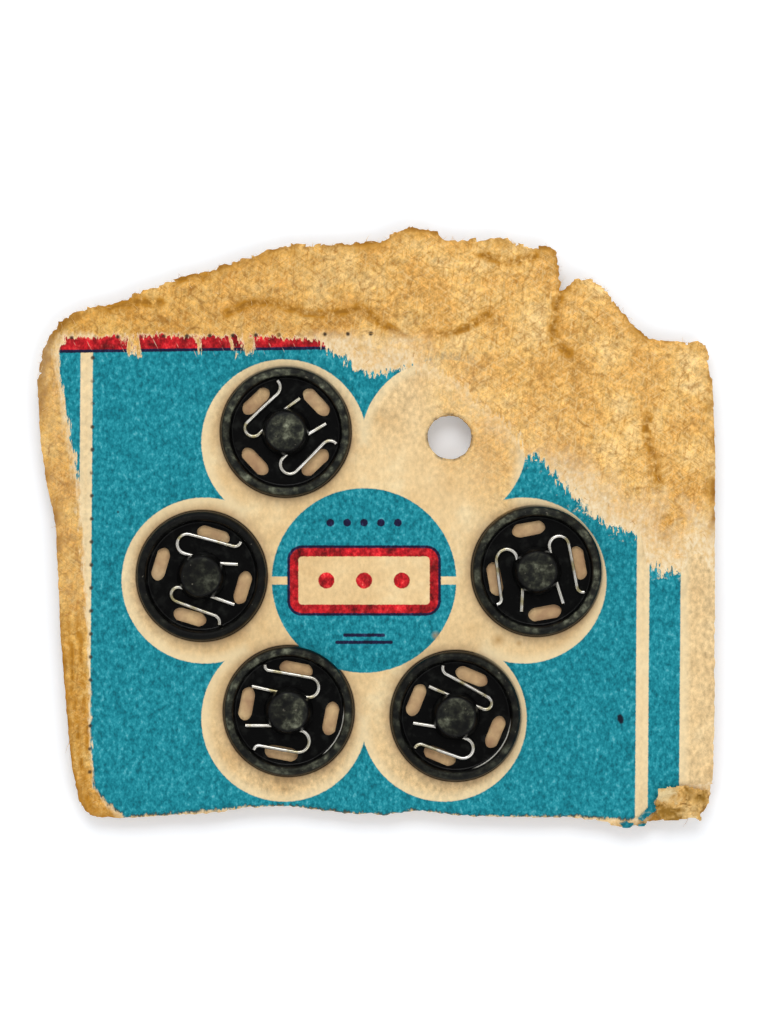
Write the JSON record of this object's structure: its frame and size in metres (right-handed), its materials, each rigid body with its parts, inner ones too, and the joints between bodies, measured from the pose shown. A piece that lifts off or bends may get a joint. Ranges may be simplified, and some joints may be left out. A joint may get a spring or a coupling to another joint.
{
  "type": "card of snap fasteners",
  "caption": "Torn, worn pulp-board card with a ring of black sew-on press studs snapped through punched holes, wire springs showing, and one hole left bare.",
  "frame": {"origin": "centre of the box round the object, on the surface that the studs' back rims stand on", "axes": "+X across the card, +Y up the card towards its torn top, +Z out of the printed front"},
  "size_m": [0.0522, 0.0466, 0.0034],
  "materials": {
    "card_board": "worn printed pulp board, teal and cream with torn tan patches",
    "snap_black": "black japanned pressed steel, worn satin on the rims",
    "spring_wire": "bright drawn wire"
  },
  "bodies": {
    "card": {"card": "card_board", "snap_1_stud": "snap_black", "snap_2_stud": "snap_black", "snap_3_stud": "snap_black", "snap_4_stud": "snap_black", "snap_5_stud": "snap_black"},
    "snap_1_front": {"snap_1_socket": "snap_black", "snap_1_spring_left": "spring_wire", "snap_1_spring_right": "spring_wire"},
    "snap_2_front": {"snap_2_socket": "snap_black", "snap_2_spring_left": "spring_wire", "snap_2_spring_right": "spring_wire"},
    "snap_3_front": {"snap_3_socket": "snap_black", "snap_3_spring_left": "spring_wire", "snap_3_spring_right": "spring_wire"},
    "snap_4_front": {"snap_4_socket": "snap_black", "snap_4_spring_left": "spring_wire", "snap_4_spring_right": "spring_wire"},
    "snap_5_front": {"snap_5_socket": "snap_black", "snap_5_spring_left": "spring_wire", "snap_5_spring_right": "spring_wire"}
  },
  "joints": [
    {"name": "snap_1_pull", "type": "slide", "parent": "card", "child": "snap_1_front", "axis": [0, 0, 1], "range_m": [0, 0.005], "deforming": ["snap_1_spring_left", "snap_1_spring_right"]},
    {"name": "snap_2_pull", "type": "slide", "parent": "card", "child": "snap_2_front", "axis": [0, 0, 1], "range_m": [0, 0.005], "deforming": ["snap_2_spring_left", "snap_2_spring_right"]},
    {"name": "snap_3_pull", "type": "slide", "parent": "card", "child": "snap_3_front", "axis": [0, 0, 1], "range_m": [0, 0.005], "deforming": ["snap_3_spring_left", "snap_3_spring_right"]},
    {"name": "snap_4_pull", "type": "slide", "parent": "card", "child": "snap_4_front", "axis": [0, 0, 1], "range_m": [0, 0.005], "deforming": ["snap_4_spring_left", "snap_4_spring_right"]},
    {"name": "snap_5_pull", "type": "slide", "parent": "card", "child": "snap_5_front", "axis": [0, 0, 1], "range_m": [0, 0.005], "deforming": ["snap_5_spring_left", "snap_5_spring_right"]}
  ]
}
